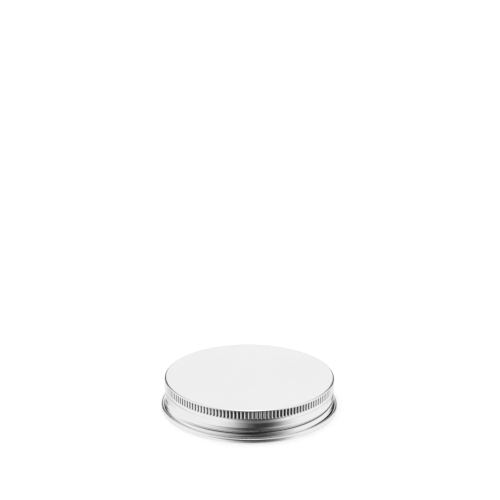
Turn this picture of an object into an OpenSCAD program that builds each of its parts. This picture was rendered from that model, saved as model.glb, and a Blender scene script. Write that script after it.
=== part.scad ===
// Pressed aluminium screw cap for a wide jar, lying mouth down on its curled edge.
// The shell is one piece of thin sheet: a flat top, a rounded corner, a knurled band, a neck,
// a rolled thread and a curled edge. A foam liner lies against the underside of the top.
// The origin is on the axis, level with the lowest line of the curl, and +Z is up.

/* [Shell] */
// Outside diameter of the plain skirt, between the turns of the thread
skirt_d = 70.5; // [60:0.5:84]
// Height over all, from the foot of the curl to the top face
cap_h = 13.2; // [13:0.1:20]
// Thickness of the aluminium sheet
wall = 0.25; // [0.2:0.01:0.3]
// Outside radius of the rounded corner round the top face
corner_r = 0.9; // [0.7:0.05:1.3]

/* [Knurled band] */
// How far the knurled band stands out from the skirt
band_proud = 0.15; // [0.05:0.05:0.3]
// Number of flutes round the band
flute_count = 150; // [100:1:160]
// Width of one flute at the surface of the band
flute_w = 0.84; // [0.6:0.02:0.9]
// Depth that the flutes are pressed in
flute_depth = 0.3; // [0.2:0.01:0.35]
// Length of a flute
flute_len = 2.75; // [1.5:0.05:3]
// Plain strip of the band between the rounded corner and the flutes
flute_drop = 0.05; // [0.05:0.05:0.4]
// Plain strip of the band below the flutes
band_strip = 0.35; // [0.1:0.05:0.5]

/* [Neck] */
// How far the neck under the band lies inside the skirt
neck_depth = 0.55; // [0.3:0.05:0.8]
// Height of the shoulder that turns from the band into the neck
shoulder_h = 1.6; // [0.8:0.05:1.8]
// Height of the neck's wall at the front, where its lower edge climbs with the thread
neck_wall_h = 1.9; // [1.7:0.1:3]
// Angle over which that edge comes back down, on each side of the back
neck_return = 40; // [20:5:80]
// Height of the slope that turns from the neck back out to the skirt
neck_slope_h = 0.9; // [0.6:0.05:1.4]

/* [Thread] */
// Rise of the thread in one turn, six turns to the inch
thread_pitch = 4.233; // [3:0.001:5]
// Depth of the rolled groove, measured on the outside
thread_depth = 0.55; // [0.3:0.05:1]
// Width of the rolled groove, measured on the outside
thread_w = 1.6; // [1.2:0.1:2.4]
// Height of the groove's middle where it starts
thread_start_z = 3; // [2.9:0.05:4.2]
// Direction in which the groove starts, seen from above, 0 being the front
thread_start_angle = -60; // [-180:5:180]
// Angle that the groove runs through, right-handed
thread_sweep = 380; // [300:5:390]
// Angle over which the groove fades in and out at its ends
thread_fade = 35; // [20:5:60]

/* [Curled edge] */
// Outside diameter of the curl's round section
curl_d = 1.68; // [1.3:0.02:2]
// Gap between the skirt and the sheet's rolled-in free edge
curl_gap = 0.1; // [0.06:0.01:0.2]
// Plain foot of the skirt above the curl
foot_h = 0.25; // [0.2:0.05:0.5]
// How far the foot of the skirt flares out from the skirt
foot_flare = 0.12; // [0:0.02:0.3]
// Height over which the skirt flares out
flare_h = 0.6; // [0.4:0.1:2]

/* [Liner] */
// Thickness of the foam liner
liner_t = 1.5; // [0.8:0.1:2]
// Clearance between the liner's edge and the inside of the flutes
liner_gap = 0.15; // [0.1:0.05:0.3]

/* [Hidden] */

// Facets of the full rounds and of the small rounds, and the corners of a flute's round bottom
round_fn = 180;
small_fn = 32;
flute_corners = 5;

// Radii of the outside
skirt_r = skirt_d / 2;
band_r = skirt_r + band_proud;
neck_r = skirt_r - neck_depth;
foot_r = skirt_r + foot_flare;

// Flutes: round-bottomed, with their middle line just outside the band
flute_r = (pow(flute_w / 2, 2) + pow(flute_depth, 2)) / (2 * flute_depth);
flute_axis_r = band_r - flute_depth + flute_r;
flute_top = cap_h - corner_r - flute_drop;
flute_low = flute_top - flute_len;

// Curl: the foot of the skirt is the inner side of its round section
curl_r = curl_d / 2;
curl_axis_r = foot_r - wall + curl_r;
curl_end_angle = acos((curl_axis_r - foot_r - curl_gap) / curl_r);

// Heights of the threaded part of the skirt, which laps into the walls above and below it
lap_h = 0.1;
lap_r = 0.01;
skirt_low = curl_d + foot_h;
skirt_top = flute_low - band_strip;
neck_z = skirt_top - shoulder_h;

// Grid of the threaded part: its rows climb with the thread
angle_steps = 72;
rows_per_turn = 14;
row_h = thread_pitch / rows_per_turn;
row_count = (skirt_top - skirt_low) / row_h;
row_snap = 0.25;
row_first = -rows_per_turn - 1;
row_last = ceil(row_count) + 1;

function clamp01(t) = min(1, max(0, t));
function ease(t) = 0.5 - 0.5 * cos(180 * clamp01(t));

// How far the neck's lower edge has climbed at an angle on from the thread's start
function neck_rise(along) =
    let (a = (along + thread_start_angle + 180) % 360 - 180)
    thread_pitch * a / 360 * ease((180 - abs(a)) / neck_return);

// Outside radius of the skirt without its thread
function plain_r(along, z) =
    neck_r
    + (band_r - neck_r) * ease((z - neck_z) / shoulder_h)
    + neck_depth * ease((neck_z - neck_wall_h + neck_rise(along) - z) / neck_slope_h)
    + foot_flare * (1 - ease((z - skirt_low) / flare_h));

// Depth of the groove at one height, a given angle on from its start
function groove_at(along, z) =
    thread_depth
    * ease(along / thread_fade)
    * ease((thread_sweep - along) / thread_fade)
    * (1 - ease(abs(z - thread_start_z - thread_pitch * along / 360) / (thread_w / 2)));

// Deepest of the turns that pass this place, run out at the top and foot of the skirt
function groove_depth(along, z) =
    max(groove_at(along, z), groove_at(along + 360, z))
    * ease((z - skirt_low) / foot_h)
    * ease((skirt_top - z) / shoulder_h);

function outer_r(along, z) =
    let (plain = plain_r(along, z))
    plain - max(0, groove_depth(along, z) - max(0, skirt_r - plain));

// The sheet keeps its thickness on a slope, so its inside is further in there
slope_step = 0.05;
function slope(along, z) =
    (outer_r(along, min(skirt_top, z + slope_step)) - outer_r(along, max(skirt_low, z - slope_step)))
    / (2 * slope_step);
function inner_r(along, z) =
    outer_r(along, z) - wall * sqrt(1 + pow(slope(along, z), 2));

// Rows of one column of the grid, from the foot of the skirt to its top
function climb(i) = rows_per_turn * i / angle_steps;
function low_row(i) = floor(row_snap - climb(i));
function high_row(i) = ceil(row_count - row_snap - climb(i));
function row_in(i, j) = max(low_row(i), min(high_row(i), j));
function row_z(i, j) =
    j <= low_row(i) ? skirt_low
    : j >= high_row(i) ? skirt_top
    : skirt_low + (j + climb(i)) * row_h;

// A point of the grid by its number, where the last column joins the first a turn higher
row_total = row_last - row_first + 1;
function point_id(i, j) =
    i == angle_steps
    ? point_id(0, j + rows_per_turn)
    : i * row_total + row_in(i, j) - row_first;

function ring_point(r, along, z) =
    let (a = along + thread_start_angle - 90)
    [r * cos(a), r * sin(a), z];

function triangle(a, b, c) = a == b || b == c || c == a ? [] : [[a, b, c]];

// One patch of the grid between two columns, as one or two triangles
function patch(a, b, c, d) = concat(triangle(a, b, c), triangle(a, c, d));

module threaded_skirt() {
    step = 360 / angle_steps;
    rows = [row_first : row_last];
    outside = [
        for (i = [0 : angle_steps - 1], j = rows)
            let (z = row_z(i, j))
            ring_point(outer_r(i * step, z) - lap_r, i * step, z)
    ];
    // The inside touches its true radius at the middle of each facet
    inside = [
        for (i = [0 : angle_steps - 1], j = rows)
            let (z = row_z(i, j))
            ring_point(inner_r(i * step, z) / cos(step / 2) + lap_r, i * step, z)
    ];
    shift = len(outside);
    walls = [
        for (i = [0 : angle_steps - 1], j = [row_first : row_last - 1])
            let (
                a = point_id(i, j),
                b = point_id(i, j + 1),
                c = point_id(i + 1, j + 1),
                d = point_id(i + 1, j)
            )
            for (face = concat(
                patch(a, b, c, d),
                patch(a + shift, d + shift, c + shift, b + shift)
            )) face
    ];
    ends = [
        for (i = [0 : angle_steps - 1])
            let (
                a = point_id(i, row_first),
                b = point_id(i + 1, row_first),
                c = point_id(i, row_last),
                d = point_id(i + 1, row_last)
            )
            for (face = concat(
                patch(a, b, b + shift, a + shift),
                patch(c, c + shift, d + shift, d)
            )) face
    ];
    polyhedron(points = concat(outside, inside), faces = concat(walls, ends));
}

// Half section of a block with one round corner, from the axis outwards
module corner_block(r, low, top, round_r) {
    difference() {
        translate([0, low]) square([r, top - low]);
        translate([r - round_r, top - round_r]) square([2 * round_r, 2 * round_r]);
    }
    intersection() {
        translate([r - round_r, top - round_r]) circle(r = round_r, $fn = small_fn);
        translate([r - round_r, top - round_r]) square([round_r, round_r]);
    }
}

// Wall between two radii
module ring(inner, outer, low, top) {
    translate([0, 0, low]) linear_extrude(height = top - low) difference() {
        circle(r = outer, $fn = round_fn);
        circle(r = inner, $fn = round_fn);
    }
}

// Outline of a round with a groove of radius bar_r at each flute
function fluted_outline(r, bar_r) =
    let (half = acos((pow(flute_axis_r, 2) + pow(bar_r, 2) - pow(r, 2)) / (2 * flute_axis_r * bar_r)))
    [
        for (i = [0 : flute_count - 1], k = [0 : flute_corners])
            let (
                turn = 360 * i / flute_count,
                t = half * (2 * k / flute_corners - 1),
                x = flute_axis_r - bar_r * cos(t),
                y = bar_r * sin(t)
            )
            [x * cos(turn) - y * sin(turn), x * sin(turn) + y * cos(turn)]
    ];

// Band of sheet pressed in at each flute, with the bulge of the flute on its inside.
// The sheet turns back out to the band in an end wall above and below each flute.
module fluted_band() {
    bulges = fluted_outline(band_r - wall + lap_r, flute_r + wall);
    outside = fluted_outline(band_r - lap_r, flute_r);
    count = len(outside);
    translate([0, 0, flute_low]) linear_extrude(height = flute_top - flute_low)
        polygon(
            points = concat(outside, bulges),
            paths = [[for (i = [0 : count - 1]) i], [for (i = [0 : count - 1]) count + i]]
        );
    for (low = [flute_low - wall, flute_top])
        translate([0, 0, low]) linear_extrude(height = wall) difference() {
            circle(r = band_r - wall / 2, $fn = round_fn);
            polygon(bulges);
        }
}

// Top face, rounded corner and knurled band
module crown() {
    rotate_extrude($fn = round_fn) difference() {
        corner_block(band_r, flute_top, cap_h, corner_r);
        corner_block(band_r - wall, flute_top - wall, cap_h - wall, corner_r - wall);
    }
    fluted_band();
    ring(band_r - wall, band_r, skirt_top - lap_h, flute_low);
}

// Foot of the skirt, rolled outwards, round and back to within a gap of the skirt
module curled_edge() {
    open_side = 2 * curl_d;
    rotate_extrude($fn = round_fn) {
        translate([foot_r - wall, curl_r]) square([wall, skirt_low + lap_h - curl_r]);
        translate([curl_axis_r, curl_r]) difference() {
            circle(r = curl_r, $fn = small_fn);
            circle(r = curl_r - wall, $fn = small_fn);
            polygon([
                [0, 0],
                [-open_side * cos(curl_end_angle), open_side * sin(curl_end_angle)],
                [-open_side, open_side * sin(curl_end_angle)],
                [-open_side, 0]
            ]);
        }
    }
}

module cap_shell() {
    color([0.82, 0.83, 0.84]) {
        crown();
        threaded_skirt();
        curled_edge();
    }
}

// Foam disc whose upper edge is pressed to the shape of the corner
module liner() {
    liner_r = band_r - flute_depth - wall - liner_gap;
    color([0.95, 0.95, 0.93])
        rotate_extrude($fn = round_fn)
            corner_block(liner_r, cap_h - wall - liner_t, cap_h - wall, corner_r - wall);
}

cap_shell();
liner();
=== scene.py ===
"""Looks of a pressed aluminium screw cap, lying mouth down on a white table.

Metres, +Z up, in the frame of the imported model: the origin is on the cap's axis,
level with the foot of its curled edge, and the viewer stands at -Y.
"""

from math import atan2, cos, degrees, pi, radians, sin, sqrt

import bmesh
import bpy
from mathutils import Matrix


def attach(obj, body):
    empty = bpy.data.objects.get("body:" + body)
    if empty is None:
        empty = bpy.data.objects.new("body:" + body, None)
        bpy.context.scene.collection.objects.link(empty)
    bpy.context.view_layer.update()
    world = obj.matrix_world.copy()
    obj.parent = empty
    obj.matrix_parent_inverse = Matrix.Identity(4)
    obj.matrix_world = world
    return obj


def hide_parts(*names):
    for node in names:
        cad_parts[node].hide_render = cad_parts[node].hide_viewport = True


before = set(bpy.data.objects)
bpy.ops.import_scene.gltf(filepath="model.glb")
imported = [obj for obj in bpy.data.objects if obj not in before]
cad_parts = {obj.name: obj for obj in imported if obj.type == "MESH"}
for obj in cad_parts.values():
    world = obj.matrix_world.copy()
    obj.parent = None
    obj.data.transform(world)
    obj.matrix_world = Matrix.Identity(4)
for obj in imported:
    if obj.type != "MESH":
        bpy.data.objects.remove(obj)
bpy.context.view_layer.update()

# Camera: a long lens looking a little over the cap, so that the cap lies low in the frame.
# It stands 0.5 m from the cap and 24.6 degrees above it, and leans by less than half a degree.
CAMERA_DISTANCE = 0.5
CAMERA_SIDE = -0.00015
CAMERA_HEIGHT_ANGLE = radians(24.59)
CAMERA_PITCH = radians(17.15)
CAMERA_LEAN = radians(0.41)
LENS_MM = 84.9
SENSOR_MM = 36.0
camera_data = bpy.data.cameras.new("camera")
camera_data.lens = LENS_MM
camera_data.sensor_width = SENSOR_MM
camera = bpy.data.objects.new("camera", camera_data)
camera.location = (
    CAMERA_SIDE,
    -CAMERA_DISTANCE * cos(CAMERA_HEIGHT_ANGLE),
    CAMERA_DISTANCE * sin(CAMERA_HEIGHT_ANGLE),
)
camera.rotation_euler = (pi / 2 - CAMERA_PITCH, 0.0, 0.0)
camera.rotation_euler.rotate_axis("Z", CAMERA_LEAN)
bpy.context.scene.collection.objects.link(camera)
bpy.context.scene.camera = camera
bpy.context.scene.view_settings.view_transform = "Standard"


def add_node(tree, kind, inputs=None, **settings):
    """A shader node with its settings and its unlinked inputs."""
    node = tree.nodes.new(kind)
    for name, value in settings.items():
        setattr(node, name, value)
    for name, value in (inputs or {}).items():
        node.inputs[name].default_value = value
    return node


def ramp(tree, source, stops):
    """Grey that follows a value from 0 to 1, from a list of (position, grey)."""
    node = tree.nodes.new("ShaderNodeValToRGB")
    elements = node.color_ramp.elements
    while len(elements) < len(stops):
        elements.new(0.5)
    for element, (position, grey) in zip(elements, stops):
        element.position = position
        element.color = (grey, grey, grey, 1.0)
    tree.links.new(source, node.inputs["Fac"])
    return node.outputs["Color"]


def span(tree, source, start, end):
    """0 before the start and 1 after the end of a range of a value, which may fall."""
    node = add_node(tree, "ShaderNodeMapRange", {"From Min": start, "From Max": end})
    tree.links.new(source, node.inputs["Value"])
    return node.outputs["Result"]


def combine(tree, operation, *terms):
    """Result of an operation on up to three values, each a socket or a number."""
    node = add_node(tree, "ShaderNodeMath", operation=operation)
    for socket, term in zip(node.inputs, terms):
        if isinstance(term, float):
            socket.default_value = term
        else:
            tree.links.new(term, socket)
    return node.outputs[0]


def product(tree, first, *others):
    """Values multiplied together, such as masks that are 1 only where all of them are."""
    for other in others:
        first = combine(tree, "MULTIPLY", first, other)
    return first


# Light: an even white tent. Only polished metal shows its dark opening for the camera, a little
# to the right of the lens, and the two gaps beside its back wall. Both are greys over an azimuth
# from the front: the opening's run from 1.6 half widths at its left to 1.6 at its right.
OPENING_SPREAD = 1.6
OPENING_GREYS = [
    (0.03, 1.0), (0.11, 0.9), (0.2, 0.7), (0.28, 0.4), (0.37, 0.14), (0.45, 0.05),
    (0.55, 0.045), (0.63, 0.1), (0.71, 0.31), (0.79, 0.66), (0.88, 0.92), (0.96, 1.0),
]
GAP_AZIMUTH = radians(151.0)
GAP_HALF_WIDTH = radians(17.0)
GAP_GREYS = [(0.0, 0.06), (0.6, 0.14), (1.0, 1.0)]
walls_group = bpy.data.node_groups.new("studio_walls", "ShaderNodeTree")
for name, kind in (("Direction", "Vector"), ("Centre", "Float"), ("Half Width", "Float")):
    walls_group.interface.new_socket(name, in_out="INPUT", socket_type="NodeSocket" + kind)
for name in ("Opening", "Gaps", "Side"):
    walls_group.interface.new_socket(name, in_out="OUTPUT", socket_type="NodeSocketFloat")
asked = add_node(walls_group, "NodeGroupInput")
split = add_node(walls_group, "ShaderNodeSeparateXYZ")
walls_group.links.new(asked.outputs["Direction"], split.inputs["Vector"])
to_front = combine(walls_group, "MULTIPLY", split.outputs["Y"], -1.0)
azimuth = combine(walls_group, "ARCTAN2", split.outputs["X"], to_front)
away = combine(walls_group, "SUBTRACT", azimuth, asked.outputs["Centre"])
away = combine(walls_group, "DIVIDE", away, asked.outputs["Half Width"])
opening = ramp(
    walls_group, span(walls_group, away, -OPENING_SPREAD, OPENING_SPREAD), OPENING_GREYS,
)
side = combine(walls_group, "ABSOLUTE", azimuth)
apart = combine(walls_group, "ABSOLUTE", combine(walls_group, "SUBTRACT", side, GAP_AZIMUTH))
gaps = ramp(walls_group, span(walls_group, apart, 0.0, GAP_HALF_WIDTH), GAP_GREYS)
result = add_node(walls_group, "NodeGroupOutput")
for name, value in (("Opening", opening), ("Gaps", gaps), ("Side", side)):
    walls_group.links.new(value, result.inputs[name])

# Heights in the tent are the Z of a direction: 0 is level and 1 is straight up. The opening and
# the gaps end below the roof, whose middle is the brightest part.
OPENING_CENTRE = radians(2.0)
OPENING_HALF_WIDTH = radians(52.0)
OPENING_TOP = (0.9, 0.97)
GAP_TOP = (0.45, 0.85)
ROOF_LAMP = (0.94, 0.99)
ROOF_LAMP_GLOW = 0.7
TENT_STRENGTH = 0.8
world = bpy.data.worlds.new("tent")
bpy.context.scene.world = world
world.use_nodes = True
tent = world.node_tree
tent.nodes.clear()
tent_coords = add_node(tent, "ShaderNodeTexCoord")
tent_walls = add_node(
    tent, "ShaderNodeGroup", {"Centre": OPENING_CENTRE, "Half Width": OPENING_HALF_WIDTH},
    node_tree=walls_group,
)
tent.links.new(tent_coords.outputs["Generated"], tent_walls.inputs["Direction"])
heights = add_node(tent, "ShaderNodeSeparateXYZ")
tent.links.new(tent_coords.outputs["Generated"], heights.inputs["Vector"])
height = heights.outputs["Z"]
front = combine(tent, "MAXIMUM", tent_walls.outputs["Opening"], span(tent, height, *OPENING_TOP))
rear = combine(tent, "MAXIMUM", tent_walls.outputs["Gaps"], span(tent, height, *GAP_TOP))
roof_lamp = product(tent, span(tent, height, *ROOF_LAMP), ROOF_LAMP_GLOW)
tent_grey = combine(tent, "ADD", combine(tent, "MINIMUM", front, rear), roof_lamp)
shown = add_node(tent, "ShaderNodeBackground", {"Strength": 1.0})
tent.links.new(tent_grey, shown.inputs["Color"])
lighting = add_node(
    tent, "ShaderNodeBackground", {"Color": (1.0, 1.0, 1.0, 1.0), "Strength": TENT_STRENGTH},
)
tent_rays = add_node(tent, "ShaderNodeLightPath")
tent_mix = add_node(tent, "ShaderNodeMixShader")
tent.links.new(tent_rays.outputs["Is Glossy Ray"], tent_mix.inputs["Fac"])
tent.links.new(lighting.outputs[0], tent_mix.inputs[1])
tent.links.new(shown.outputs[0], tent_mix.inputs[2])
white = add_node(tent, "ShaderNodeBackground", {"Color": (1.0, 1.0, 1.0, 1.0), "Strength": 1.0})
camera_mix = add_node(tent, "ShaderNodeMixShader")
tent.links.new(tent_rays.outputs["Is Camera Ray"], camera_mix.inputs["Fac"])
tent.links.new(tent_mix.outputs[0], camera_mix.inputs[1])
tent.links.new(white.outputs[0], camera_mix.inputs[2])
tent_out = add_node(tent, "ShaderNodeOutputWorld")
tent.links.new(camera_mix.outputs[0], tent_out.inputs["Surface"])

# A soft box over the cap, a little to the left and in front, gives the table its soft shadow.
LAMP_OFFSET = 0.05
LAMP_HEIGHT = 0.8
LAMP_TILT = radians(3.6)
lamp_data = bpy.data.lights.new("soft_box", "AREA")
lamp_data.shape = "DISK"
lamp_data.size = 0.6
lamp_data.energy = 1.6
lamp = bpy.data.objects.new("soft_box", lamp_data)
lamp.location = (-LAMP_OFFSET, -LAMP_OFFSET, LAMP_HEIGHT)
lamp.rotation_euler = (LAMP_TILT, -LAMP_TILT, 0.0)
lamp.visible_glossy = False
bpy.context.scene.collection.objects.link(lamp)

# Table: a plain white sheet that runs out past the picture and keeps the cap's soft shadow.
# Polished metal sees the dark opening lie over it, from the cap's foot outwards. Reaches are
# distances from the cap's axis, and the half widths and centres are radians over ZONE_REACH.
TABLE_HALF = 3.0
ZONE_REACH = (0.036, 0.1)
HALF_WIDTHS = [(0.03, 0.36), (0.07, 0.46), (0.11, 0.42), (0.3, 0.43), (0.7, 0.85)]
CENTRES = [(0.03, 0.113), (0.07, 0.113), (0.12, 0.16), (0.3, 0.18), (0.7, 0.05)]
GLARE_REACH = (0.044, 0.037)
GLARE = 0.14
SIDE_SHADE_AZIMUTH = (radians(72.0), radians(98.0))
SIDE_SHADE_REACH = (0.048, 0.04)
SIDE_SHADE = 0.3
LIFT = 0.17
FAR_LIFT_REACH = (0.1, 0.7)
FAR_LIFT = 0.16
floor_mesh = bpy.data.meshes.new("floor")
floor_bm = bmesh.new()
bmesh.ops.create_grid(floor_bm, x_segments=1, y_segments=1, size=TABLE_HALF)
floor_bm.to_mesh(floor_mesh)
floor_bm.free()
floor = bpy.data.objects.new("floor", floor_mesh)
bpy.context.scene.collection.objects.link(floor)
floor_paint = bpy.data.materials.new("white_table")
floor_paint.use_nodes = True
paint = floor_paint.node_tree
paint.nodes.clear()
floor_coords = add_node(paint, "ShaderNodeTexCoord")
floor_walls = add_node(paint, "ShaderNodeGroup", node_tree=walls_group)
paint.links.new(floor_coords.outputs["Object"], floor_walls.inputs["Direction"])
floor_reach = add_node(paint, "ShaderNodeVectorMath", operation="LENGTH")
paint.links.new(floor_coords.outputs["Object"], floor_reach.inputs[0])
reach = floor_reach.outputs["Value"]
zone = span(paint, reach, *ZONE_REACH)
paint.links.new(ramp(paint, zone, HALF_WIDTHS), floor_walls.inputs["Half Width"])
paint.links.new(ramp(paint, zone, CENTRES), floor_walls.inputs["Centre"])
glare = product(paint, span(paint, reach, *GLARE_REACH), GLARE)
floor_grey = combine(paint, "ADD", floor_walls.outputs["Opening"], glare)
floor_grey = combine(paint, "MINIMUM", floor_grey, floor_walls.outputs["Gaps"])
side_shade = product(
    paint, span(paint, floor_walls.outputs["Side"], *SIDE_SHADE_AZIMUTH),
    span(paint, reach, *SIDE_SHADE_REACH), SIDE_SHADE,
)
floor_grey = product(paint, floor_grey, combine(paint, "SUBTRACT", 1.0, side_shade))
glow = add_node(paint, "ShaderNodeEmission", {"Strength": 1.0})
paint.links.new(floor_grey, glow.inputs["Color"])
floor_rays = add_node(paint, "ShaderNodeLightPath")
matt = add_node(paint, "ShaderNodeBsdfDiffuse", {"Color": (0.93, 0.93, 0.93, 1.0)})
far_lift = product(paint, span(paint, reach, *FAR_LIFT_REACH), FAR_LIFT)
lift = product(
    paint, floor_rays.outputs["Is Camera Ray"], combine(paint, "ADD", far_lift, LIFT),
)
lifted = add_node(paint, "ShaderNodeEmission", {"Color": (1.0, 1.0, 1.0, 1.0)})
paint.links.new(lift, lifted.inputs["Strength"])
seen = add_node(paint, "ShaderNodeAddShader")
paint.links.new(matt.outputs[0], seen.inputs[0])
paint.links.new(lifted.outputs[0], seen.inputs[1])
floor_mix = add_node(paint, "ShaderNodeMixShader")
paint.links.new(floor_rays.outputs["Is Glossy Ray"], floor_mix.inputs["Fac"])
paint.links.new(seen.outputs[0], floor_mix.inputs[1])
paint.links.new(glow.outputs[0], floor_mix.inputs[2])
floor_out = add_node(paint, "ShaderNodeOutputMaterial")
paint.links.new(floor_mix.outputs[0], floor_out.inputs["Surface"])
floor_mesh.materials.append(floor_paint)

# Shell: one disc of 0.25 mm aluminium sheet, drawn to a flat-topped cup, knurled under the
# corner, rolled with one turn of thread between two dies, and curled outwards at its edge.
MM = 0.001
WALL = 0.25 * MM
TOP = 13.2 * MM
SKIRT_R = 35.25 * MM
BAND_R = 35.4 * MM
NECK_R = 34.7 * MM
FOOT_R = 35.37 * MM
CORNER_R = 0.9 * MM
CURL_R = 0.84 * MM
CURL_AXIS_R = FOOT_R - WALL + CURL_R
CURL_END = radians(132.0)

FLUTE_COUNT = 150
FLUTE_DEPTH = 0.3 * MM
FLUTE_LOW = 9.5 * MM
FLUTE_TOP = 12.85 * MM
FLUTE_END = 0.4 * MM

SKIRT_TOP = 9.15 * MM
SKIRT_LOW = 1.93 * MM
SHOULDER_H = 1.6 * MM
NECK_WALL_H = 1.9 * MM
NECK_SLOPE_H = 0.9 * MM
NECK_RETURN_DEG = 40.0
FLARE_H = 0.6 * MM
FOOT_H = 0.25 * MM
NECK_Z = SKIRT_TOP - SHOULDER_H

PITCH = 4.233 * MM
THREAD_DEPTH = 0.55 * MM
THREAD_HALF_W = 0.8 * MM
THREAD_START_Z = 3.0 * MM
THREAD_START_DEG = -60.0
THREAD_SWEEP_DEG = 380.0
THREAD_FADE_DEG = 35.0


def ease(t):
    """Smooth step from 0 to 1."""
    return 0.5 - 0.5 * cos(pi * min(1.0, max(0.0, t)))


def band_radius(z):
    """Outside of the band and of the rounded corner over it."""
    over = z - (TOP - CORNER_R)
    if over <= 0.0:
        return BAND_R
    return BAND_R - CORNER_R + sqrt(max(0.0, CORNER_R ** 2 - over ** 2))


def fluted_radius(angle, z):
    """The band with its round flutes and ridges, which run out at both ends."""
    ends = ease((z - FLUTE_LOW) / FLUTE_END) * ease((FLUTE_TOP - z) / FLUTE_END)
    return band_radius(z) - FLUTE_DEPTH * ends * (0.5 + 0.5 * cos(FLUTE_COUNT * angle))


def plain_radius(turn, z):
    """Outside of the skirt without its thread, at an angle in degrees from the front."""
    climb = PITCH * turn / 360.0 * ease((180.0 - abs(turn)) / NECK_RETURN_DEG)
    out = (SKIRT_R - NECK_R) * ease((NECK_Z - NECK_WALL_H + climb - z) / NECK_SLOPE_H)
    shoulder = (BAND_R - NECK_R) * min(1.0, max(0.0, (z - NECK_Z) / SHOULDER_H))
    return NECK_R + shoulder + out + (FOOT_R - SKIRT_R) * (1.0 - ease((z - SKIRT_LOW) / FLARE_H))


def groove(along, z):
    """Depth of the thread at a height, an angle in degrees on from its start."""
    ends = ease(along / THREAD_FADE_DEG) * ease((THREAD_SWEEP_DEG - along) / THREAD_FADE_DEG)
    middle = THREAD_START_Z + PITCH * along / 360.0
    return THREAD_DEPTH * ends * (1.0 - ease(abs(z - middle) / THREAD_HALF_W))


def threaded_radius(angle, z):
    """The skirt with the thread rolled into it, where it is deeper than the neck."""
    turn = (degrees(angle) + 270.0) % 360.0 - 180.0
    along = (turn - THREAD_START_DEG) % 360.0
    depth = max(groove(along, z), groove(along + 360.0, z))
    depth *= ease((z - SKIRT_LOW) / FOOT_H) * ease((SKIRT_TOP - z) / SHOULDER_H)
    plain = plain_radius(turn, z)
    return plain - max(0.0, depth - max(0.0, SKIRT_R - plain))


def evenly(start, end, count):
    """Values from start to end in count steps, without the start."""
    return [start + (end - start) * (k + 1) / count for k in range(count)]


# Sections of the sheet's outer face: from the middle of the top to the foot of the band, and
# from the foot of the thread round the curl to its rolled-in edge.
FLAT_R = BAND_R - CORNER_R
crown = [(0.0, TOP), (0.6 * FLAT_R, TOP), (FLAT_R - 0.2 * MM, TOP)]
for bend in [0.0] + evenly(0.0, pi / 4, 5):
    crown.append((FLAT_R + CORNER_R * sin(bend), TOP - CORNER_R + CORNER_R * cos(bend)))
band_start = crown[-1][1]
flutes_full = (FLUTE_TOP - FLUTE_END, FLUTE_LOW + FLUTE_END)
for z in evenly(band_start, flutes_full[0], 5) + evenly(*flutes_full, 3):
    crown.append((band_radius(z), z))
for z in evenly(flutes_full[1], FLUTE_LOW, 5) + [SKIRT_TOP]:
    crown.append((BAND_R, z))
curl = [(FOOT_R, SKIRT_LOW), (FOOT_R, CURL_R + 0.4 * MM)]
curl_face_r = CURL_R - WALL
for bend in [pi] + evenly(pi, 2 * pi + CURL_END, 20):
    curl.append((CURL_AXIS_R + curl_face_r * cos(bend), CURL_R + curl_face_r * sin(bend)))

COLUMNS = 300
shell_bm = bmesh.new()
for section in (crown, curl):
    points = [shell_bm.verts.new((r, 0.0, z)) for r, z in section]
    edges = [shell_bm.edges.new(pair) for pair in zip(points, points[1:])]
    bmesh.ops.spin(
        shell_bm, geom=points + edges, cent=(0.0, 0.0, 0.0), axis=(0.0, 0.0, 1.0),
        dvec=(0.0, 0.0, 0.0), angle=2 * pi, steps=COLUMNS, use_merge=True, use_duplicate=False,
    )

# The rows between them climb with the thread, so that the groove runs clean round the skirt.
# They are held level at both ends, and the last column joins the first a turn higher.
ROWS_PER_TURN = 30
ROW_H = PITCH / ROWS_PER_TURN
ROW_COUNT = int((SKIRT_TOP - SKIRT_LOW) / ROW_H) + 2
grid = {}


def grid_vert(column, row):
    """Vertex where a column meets a climbing row."""
    if column == COLUMNS:
        column, row = 0, row + ROWS_PER_TURN
    z = SKIRT_LOW + (row + ROWS_PER_TURN * column / COLUMNS) * ROW_H
    if z < SKIRT_LOW + ROW_H / 4:
        z = SKIRT_LOW
    if z > SKIRT_TOP - ROW_H / 4:
        z = SKIRT_TOP
    if (column, z) not in grid:
        angle = 2 * pi * column / COLUMNS
        r = threaded_radius(angle, z)
        grid[(column, z)] = shell_bm.verts.new((r * cos(angle), r * sin(angle), z))
    return grid[(column, z)]


for column in range(COLUMNS):
    for row in range(-ROWS_PER_TURN - 1, ROW_COUNT):
        corners = []
        for across, up in ((0, 0), (1, 0), (1, 1), (0, 1)):
            corner = grid_vert(column + across, row + up)
            if corner not in corners:
                corners.append(corner)
        if len(corners) > 2:
            shell_bm.faces.new(corners)
bmesh.ops.remove_doubles(shell_bm, verts=shell_bm.verts, dist=0.005 * MM)

# The band gets five times the columns, so that flutes and ridges are round.
SLACK = 1e-8


def on_band(vert):
    """Whether a vertex lies between the foot of the flutes and the middle of the corner."""
    return FLUTE_LOW - SLACK < vert.co.z < band_start + SLACK


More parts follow.
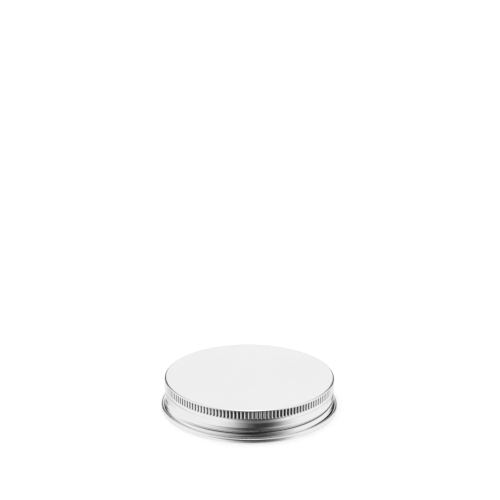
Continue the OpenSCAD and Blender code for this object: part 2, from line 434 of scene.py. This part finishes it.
band_edges = [
    edge for edge in shell_bm.edges
    if abs(edge.verts[0].co.z - edge.verts[1].co.z) < SLACK and on_band(edge.verts[0])
]
bmesh.ops.subdivide_edges(shell_bm, edges=band_edges, cuts=4, use_grid_fill=True)
for vert in shell_bm.verts:
    if on_band(vert):
        angle = atan2(vert.co.y, vert.co.x)
        r = fluted_radius(angle, vert.co.z)
        vert.co.x = r * cos(angle)
        vert.co.y = r * sin(angle)
bmesh.ops.recalc_face_normals(shell_bm, faces=shell_bm.faces)
top_faces = [face for face in shell_bm.faces if face.calc_center_median().z > TOP - SLACK]
if sum(face.normal.z * face.calc_area() for face in top_faces) < 0.0:
    bmesh.ops.reverse_faces(shell_bm, faces=shell_bm.faces)
for face in shell_bm.faces:
    face.smooth = True
shell_mesh = bpy.data.meshes.new("cap_shell_sheet")
shell_bm.to_mesh(shell_mesh)
shell_bm.free()
shell = bpy.data.objects.new("cap_shell_sheet", shell_mesh)
bpy.context.scene.collection.objects.link(shell)
sheet_wall = shell.modifiers.new("sheet", "SOLIDIFY")
sheet_wall.thickness = WALL
sheet_wall.offset = -1.0

# Bright bare metal. The top keeps the straight grain of the rolled sheet, and the wall the fine
# rings of its drawing. Shade is painted dark into the flutes, along the root of the thread and
# over the curl at the right.
SHADE_GREY = 0.04
FLUTE_SHADE_R = (BAND_R - 0.17 * MM, BAND_R - 0.24 * MM)
FLUTE_SHADE_FADE = 0.2 * MM
CREASE_Z = THREAD_START_Z - 0.35 * THREAD_HALF_W
CREASE_OFF = (0.25 * MM, 0.08 * MM)
GRAIN = (120.0, 6000.0, 6000.0)
RINGS = (3000.0, 900.0, 7000.0)
RING_WANDER = 0.002
CLOUDS = (25.0, 25.0, 25.0)
aluminium = bpy.data.materials.new("bright_aluminium")
aluminium.use_nodes = True
metal = aluminium.node_tree
metal.nodes.clear()
metal_coords = add_node(metal, "ShaderNodeTexCoord")
place = add_node(metal, "ShaderNodeSeparateXYZ")
metal.links.new(metal_coords.outputs["Object"], place.inputs["Vector"])
level = place.outputs["Z"]
flat = add_node(metal, "ShaderNodeCombineXYZ")
metal.links.new(place.outputs["X"], flat.inputs["X"])
metal.links.new(place.outputs["Y"], flat.inputs["Y"])
flat_length = add_node(metal, "ShaderNodeVectorMath", operation="LENGTH")
metal.links.new(flat.outputs[0], flat_length.inputs[0])
radius = flat_length.outputs["Value"]


def streaks(tree, source, scale):
    """Noise drawn out by a different scale along each axis."""
    stretch = add_node(tree, "ShaderNodeMapping", {"Scale": scale})
    tree.links.new(source, stretch.inputs["Vector"])
    noise = add_node(
        tree, "ShaderNodeTexNoise", {"Scale": 1.0, "Detail": 3.0, "Roughness": 0.6},
    )
    tree.links.new(stretch.outputs[0], noise.inputs["Vector"])
    return noise.outputs["Fac"]


# The outside is where the normal points away from the axis.
facing = add_node(metal, "ShaderNodeVectorMath", operation="DOT_PRODUCT")
metal.links.new(flat.outputs[0], facing.inputs[0])
metal.links.new(metal_coords.outputs["Normal"], facing.inputs[1])
outside = span(metal, facing.outputs["Value"], 0.0, 0.1 * SKIRT_R)

# Painted shade in a thin line that follows the lower side of the thread's root and fades at the
# thread's two ends.
front_y = combine(metal, "MULTIPLY", place.outputs["Y"], -1.0)
bearing = combine(metal, "ARCTAN2", place.outputs["X"], front_y)
turns = combine(
    metal, "DIVIDE", combine(metal, "SUBTRACT", bearing, radians(THREAD_START_DEG)), 2 * pi,
)
share = combine(metal, "FRACT", turns)
root = combine(metal, "MULTIPLY_ADD", share, PITCH, CREASE_Z)
off_root = combine(metal, "ABSOLUTE", combine(metal, "SUBTRACT", level, root))
crease_shade = product(
    metal, span(metal, off_root, *CREASE_OFF),
    span(metal, share, 0.0, 0.1), span(metal, share, 0.95, 0.7), outside,
)

# Painted shade over the curl at the right, standing in for the shaded slit of a curl left a
# little open there.
off_foot = combine(metal, "SUBTRACT", radius, FOOT_R)
curl_slit_shade = product(
    metal,
    span(metal, off_foot, 0.6 * MM, 0.4 * MM), span(metal, off_foot, -0.1 * MM, -0.05 * MM),
    span(metal, level, 1.1 * MM, 1.3 * MM), span(metal, level, 2.1 * MM, 1.8 * MM),
    span(metal, bearing, radians(40.0), radians(62.0)),
    span(metal, bearing, radians(102.0), radians(84.0)),
)
# Painted shade in the bottoms of the flutes, fading at their two ends, on the outside only.
flute_shade = product(
    metal, span(metal, radius, *FLUTE_SHADE_R),
    span(metal, level, FLUTE_LOW, FLUTE_LOW + FLUTE_SHADE_FADE),
    span(metal, level, FLUTE_TOP, FLUTE_TOP - FLUTE_SHADE_FADE), outside,
)
painted_shade = combine(metal, "MAXIMUM", combine(metal, "MAXIMUM", crease_shade, curl_slit_shade), flute_shade)

grain = streaks(metal, metal_coords.outputs["Object"], GRAIN)
rings = add_node(metal, "ShaderNodeCombineXYZ")
metal.links.new(radius, rings.inputs["X"])
metal.links.new(product(metal, bearing, RING_WANDER), rings.inputs["Y"])
metal.links.new(level, rings.inputs["Z"])
drawn = streaks(metal, rings.outputs[0], RINGS)
on_top = span(metal, level, TOP - 0.3 * MM, TOP - 0.1 * MM)
lines = add_node(metal, "ShaderNodeMix")
metal.links.new(on_top, lines.inputs["Factor"])
metal.links.new(drawn, lines.inputs["A"])
metal.links.new(grain, lines.inputs["B"])
clouds = streaks(metal, metal_coords.outputs["Object"], CLOUDS)
tone = combine(
    metal, "ADD", product(metal, lines.outputs["Result"], 0.4), product(metal, clouds, 0.6),
)
clean = ramp(metal, tone, [(0.3, 0.83), (0.7, 0.87)])
# The painted shade mixes the clean metal towards a near-black grey.
colour = add_node(metal, "ShaderNodeMix", {7: (SHADE_GREY, SHADE_GREY, SHADE_GREY, 1.0)}, data_type="RGBA")
metal.links.new(painted_shade, colour.inputs["Factor"])
metal.links.new(clean, colour.inputs[6])
roughness = ramp(metal, lines.outputs["Result"], [(0.3, 0.07), (0.7, 0.13)])
scratched = add_node(metal, "ShaderNodeBump", {"Strength": 0.04, "Distance": 0.01 * MM})
metal.links.new(lines.outputs["Result"], scratched.inputs["Height"])
skin = add_node(metal, "ShaderNodeBsdfPrincipled", {"Metallic": 1.0})
metal.links.new(colour.outputs[2], skin.inputs["Base Color"])
metal.links.new(roughness, skin.inputs["Roughness"])
metal.links.new(scratched.outputs[0], skin.inputs["Normal"])
metal_out = add_node(metal, "ShaderNodeOutputMaterial")
metal.links.new(skin.outputs[0], metal_out.inputs["Surface"])
shell_mesh.materials.append(aluminium)
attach(shell, "root")
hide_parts("cap_shell")

# Liner: a disc of white closed-cell foam, punched from sheet and pushed up against the top.
# Its skin shows the fine cells and a slight unevenness of tone.
CELLS_PER_M = 3000.0
PATCHES = (90.0, 90.0, 90.0)
foam = bpy.data.materials.new("white_foam")
foam.use_nodes = True
cells = foam.node_tree
cells.nodes.clear()
foam_coords = add_node(cells, "ShaderNodeTexCoord")
bubbles = add_node(cells, "ShaderNodeTexVoronoi", {"Scale": CELLS_PER_M})
cells.links.new(foam_coords.outputs["Object"], bubbles.inputs["Vector"])
patches = streaks(cells, foam_coords.outputs["Object"], PATCHES)
foam_tone = combine(
    cells, "ADD", product(cells, bubbles.outputs["Distance"], 0.3), product(cells, patches, 0.7),
)
foam_grey = ramp(cells, foam_tone, [(0.25, 0.88), (0.7, 0.78)])
foam_tint = add_node(
    cells, "ShaderNodeMix", {0: 1.0, 7: (1.0, 1.0, 0.97, 1.0)},
    data_type="RGBA", blend_type="MULTIPLY",
)
cells.links.new(foam_grey, foam_tint.inputs[6])
pores = add_node(cells, "ShaderNodeBump", {"Strength": 0.35, "Distance": 0.05 * MM})
cells.links.new(bubbles.outputs["Distance"], pores.inputs["Height"])
foam_skin = add_node(cells, "ShaderNodeBsdfPrincipled", {"Roughness": 0.62})
cells.links.new(foam_tint.outputs[2], foam_skin.inputs["Base Color"])
cells.links.new(pores.outputs[0], foam_skin.inputs["Normal"])
foam_out = add_node(cells, "ShaderNodeOutputMaterial")
cells.links.new(foam_skin.outputs[0], foam_out.inputs["Surface"])
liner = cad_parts["liner"]
for material_slot in liner.material_slots:
    material_slot.material = foam
